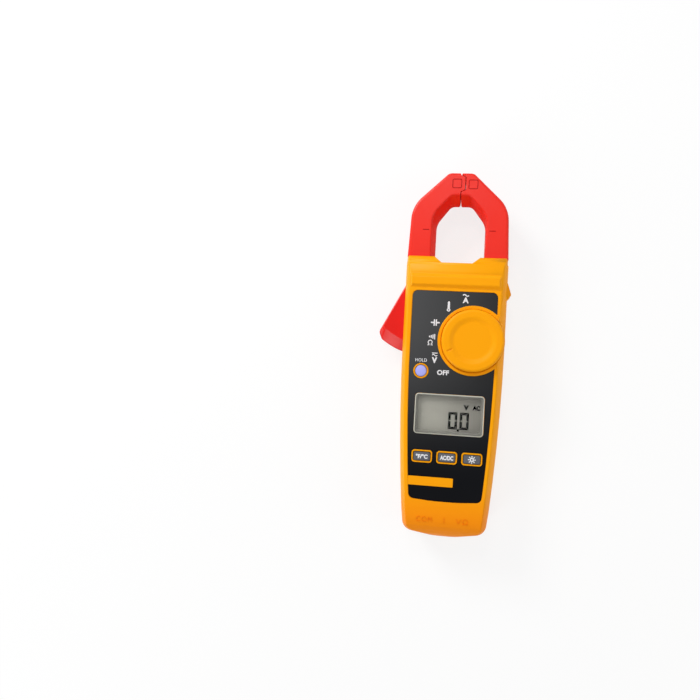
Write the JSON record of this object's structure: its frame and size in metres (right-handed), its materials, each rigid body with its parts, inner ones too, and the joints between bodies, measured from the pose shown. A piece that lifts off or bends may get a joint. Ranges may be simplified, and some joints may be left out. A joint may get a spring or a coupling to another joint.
{
  "type": "clamp meter",
  "caption": "Hand-held clamp meter with geared opening jaws, side trigger, rotary switch, LCD, keys and test-lead jacks.",
  "frame": {"origin": "on the flat back face, on the case's middle plane, at half the overall length", "axes": "+X to the right of the display, +Y towards the jaws, +Z out of the display"},
  "size_m": [0.0742, 0.2069, 0.0339],
  "materials": {
    "yellow_case": "fine-textured moulded plastic",
    "red_jaw": "satin moulded plastic",
    "black_panel": "satin printed panel",
    "clear_window": "clear polycarbonate",
    "lcd": "reflective liquid-crystal cell",
    "grey_rubber": "matte silicone rubber",
    "blue_rubber": "matte silicone rubber",
    "white_plastic": "plain moulded plastic",
    "brass": "plain brass",
    "steel": "zinc-plated",
    "board": "green solder mask",
    "chips": "moulded packages",
    "copper_winding": "enamelled wire",
    "cell_wrap": "printed wrap, bare"
  },
  "bodies": {
    "case": {"rear_cover": "yellow_case", "battery_door": "yellow_case", "door_screw": "steel", "battery_cells": "cell_wrap", "battery_contacts": "steel", "jack_block": "black_panel", "com_jack": "brass", "volt_jack": "brass", "circuit_board": "board", "board_components": "chips", "dome_switches": "steel", "buzzer": "brass", "lcd_holder": "white_plastic", "backlight_guide": "clear_window", "elastomer_strips": "grey_rubber", "lcd_glass": "lcd", "front_cover": "yellow_case", "front_panel": "black_panel", "label_bar": "yellow_case", "display_lens": "clear_window", "case_screws": "steel", "detent_spring": "steel", "left_pivot_pin": "steel", "right_pivot_pin": "steel", "return_spring": "steel", "jaw_leads": "chips"},
    "left_jaw": {"left_jaw": "red_jaw", "trigger": "red_jaw", "left_core": "steel", "left_winding": "copper_winding"},
    "right_jaw": {"right_jaw": "red_jaw", "right_core": "steel", "right_winding": "copper_winding"},
    "knob": {"rotary_knob": "yellow_case", "switch_rotor": "white_plastic", "wiper_contacts": "brass"},
    "hold_button": {"hold_button": "blue_rubber"},
    "unit_key": {"unit_key": "grey_rubber"},
    "acdc_key": {"acdc_key": "grey_rubber"},
    "backlight_key": {"backlight_key": "grey_rubber"}
  },
  "joints": [
    {"name": "left_jaw_swing", "type": "hinge", "parent": "case", "child": "left_jaw", "pos_m": [-0.016, 0.0395, 0.0145], "axis": [0, 0, 1], "range_deg": [0, 13], "stiffness_Nm_per_rad": 1.5, "springref_deg": -5.73},
    {"name": "right_jaw_swing", "type": "hinge", "parent": "case", "child": "right_jaw", "pos_m": [0.016, 0.0395, 0.0145], "axis": [0, 0, 1], "range_deg": [-13, 0]},
    {"name": "knob_turn", "type": "hinge", "parent": "case", "child": "knob", "pos_m": [0.011, 0.007, 0.03], "axis": [0, 0, 1], "range_deg": [-100, 25]},
    {"name": "hold_press", "type": "slide", "parent": "case", "child": "hold_button", "axis": [0, 0, -1], "range_m": [0, 0.0008], "stiffness_N_per_m": 1500},
    {"name": "unit_key_press", "type": "slide", "parent": "case", "child": "unit_key", "axis": [0, 0, -1], "range_m": [0, 0.0008], "stiffness_N_per_m": 1500},
    {"name": "acdc_key_press", "type": "slide", "parent": "case", "child": "acdc_key", "axis": [0, 0, -1], "range_m": [0, 0.0008], "stiffness_N_per_m": 1500},
    {"name": "backlight_key_press", "type": "slide", "parent": "case", "child": "backlight_key", "axis": [0, 0, -1], "range_m": [0, 0.0008], "stiffness_N_per_m": 1500}
  ],
  "couplings": [
    {"joint": "right_jaw_swing", "follows": "left_jaw_swing", "ratio": -1}
  ]
}
